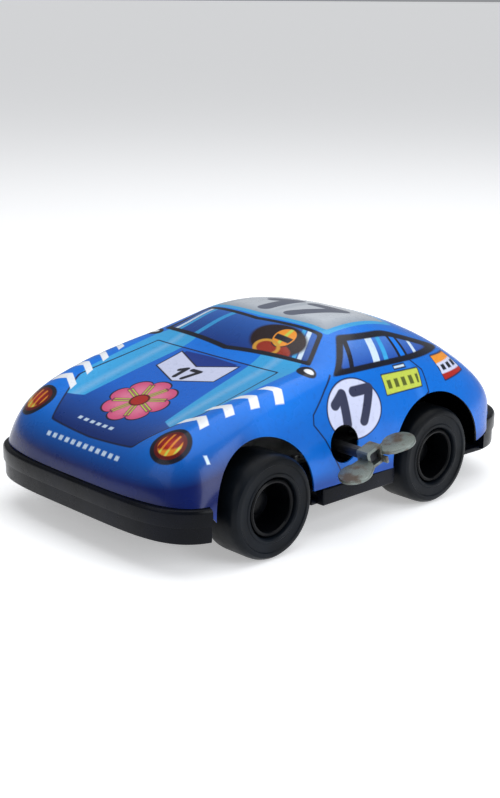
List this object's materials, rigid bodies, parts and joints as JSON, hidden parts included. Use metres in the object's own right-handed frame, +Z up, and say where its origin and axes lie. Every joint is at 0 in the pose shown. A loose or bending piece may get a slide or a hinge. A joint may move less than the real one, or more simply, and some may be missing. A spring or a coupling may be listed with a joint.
{
  "type": "wind up tin toy",
  "caption": "Printed tin race car on a moulded base with four wheels, driven by a clockwork motor that a winding key on the left side winds.",
  "frame": {"origin": "on the floor under the middle of the bounding box, key included", "axes": "+Z up, -Y towards the nose, +X towards the car's left, where the key is"},
  "size_m": [0.0854, 0.1136, 0.043],
  "materials": {
    "printed_tin": "gloss",
    "base_black": "semi-gloss",
    "wheel_black": "semi-gloss",
    "bush_black": "matt",
    "tyre_black": "semi-gloss",
    "key_steel": "dull",
    "spring_steel": "blued",
    "dark_steel": "blackened",
    "plated_steel": "satin",
    "turned_steel": "satin",
    "brass": "satin"
  },
  "bodies": {
    "chassis": {"body_shell": "printed_tin", "base_tray": "base_black", "motor_plate_left": "plated_steel", "motor_plate_right": "plated_steel", "motor_screw_left": "turned_steel", "motor_screw_right": "turned_steel", "pillar_1": "turned_steel", "pillar_2": "turned_steel", "pillar_3": "turned_steel", "pillar_4": "turned_steel", "mainspring": "spring_steel", "axle_bush_front_left": "bush_black", "axle_bush_front_right": "bush_black", "axle_bush_rear_left": "bush_black", "axle_bush_rear_right": "bush_black"},
    "winder": {"winding_key": "key_steel", "winding_arbor": "dark_steel", "ratchet_wheel": "turned_steel"},
    "great": {"great_wheel": "brass", "click_spring": "brass"},
    "click_lever": {"click": "turned_steel"},
    "second": {"second_arbor": "turned_steel", "second_pinion": "turned_steel", "second_wheel": "brass"},
    "third": {"third_arbor": "turned_steel", "third_pinion": "turned_steel", "third_wheel": "brass"},
    "rear_wheels": {"rear_axle": "turned_steel", "axle_pinion": "turned_steel", "wheel_rear_left": "wheel_black", "wheel_rear_right": "wheel_black", "tyre_rear_left": "tyre_black", "tyre_rear_right": "tyre_black"},
    "front_wheels": {"front_axle": "turned_steel", "wheel_front_left": "wheel_black", "wheel_front_right": "wheel_black", "tyre_front_left": "tyre_black", "tyre_front_right": "tyre_black"}
  },
  "joints": [
    {"name": "rear_axle_spin", "type": "hinge", "parent": "chassis", "child": "rear_wheels", "pos_m": [-0.00524, 0.02128, 0.0115], "axis": [1, 0, 0], "continuous": true},
    {"name": "third_arbor_spin", "type": "hinge", "parent": "chassis", "child": "third", "pos_m": [-0.00524, 0.01297, 0.0163], "axis": [1, 0, 0], "continuous": true},
    {"name": "second_arbor_spin", "type": "hinge", "parent": "chassis", "child": "second", "pos_m": [-0.00524, 0.0043, 0.02275], "axis": [1, 0, 0], "continuous": true},
    {"name": "great_wheel_spin", "type": "hinge", "parent": "chassis", "child": "great", "pos_m": [-0.00524, -0.00782, 0.0193], "axis": [1, 0, 0], "continuous": true},
    {"name": "front_axle_spin", "type": "hinge", "parent": "chassis", "child": "front_wheels", "pos_m": [-0.00524, -0.03122, 0.0115], "axis": [1, 0, 0], "continuous": true},
    {"name": "key_wind", "type": "hinge", "parent": "chassis", "child": "winder", "pos_m": [-0.00524, -0.00782, 0.0193], "axis": [1, 0, 0], "range_deg": [0, 1440], "deforming": ["mainspring"]},
    {"name": "click_lift", "type": "hinge", "parent": "great", "child": "click_lever", "pos_m": [-0.00524, -0.00782, 0.0269], "axis": [-1, 0, 0], "range_deg": [0, 12]}
  ],
  "couplings": [
    {"joint": "third_arbor_spin", "follows": "rear_axle_spin", "ratio": -0.45455},
    {"joint": "second_arbor_spin", "follows": "rear_axle_spin", "ratio": 0.17483},
    {"joint": "great_wheel_spin", "follows": "rear_axle_spin", "ratio": -0.054633}
  ]
}
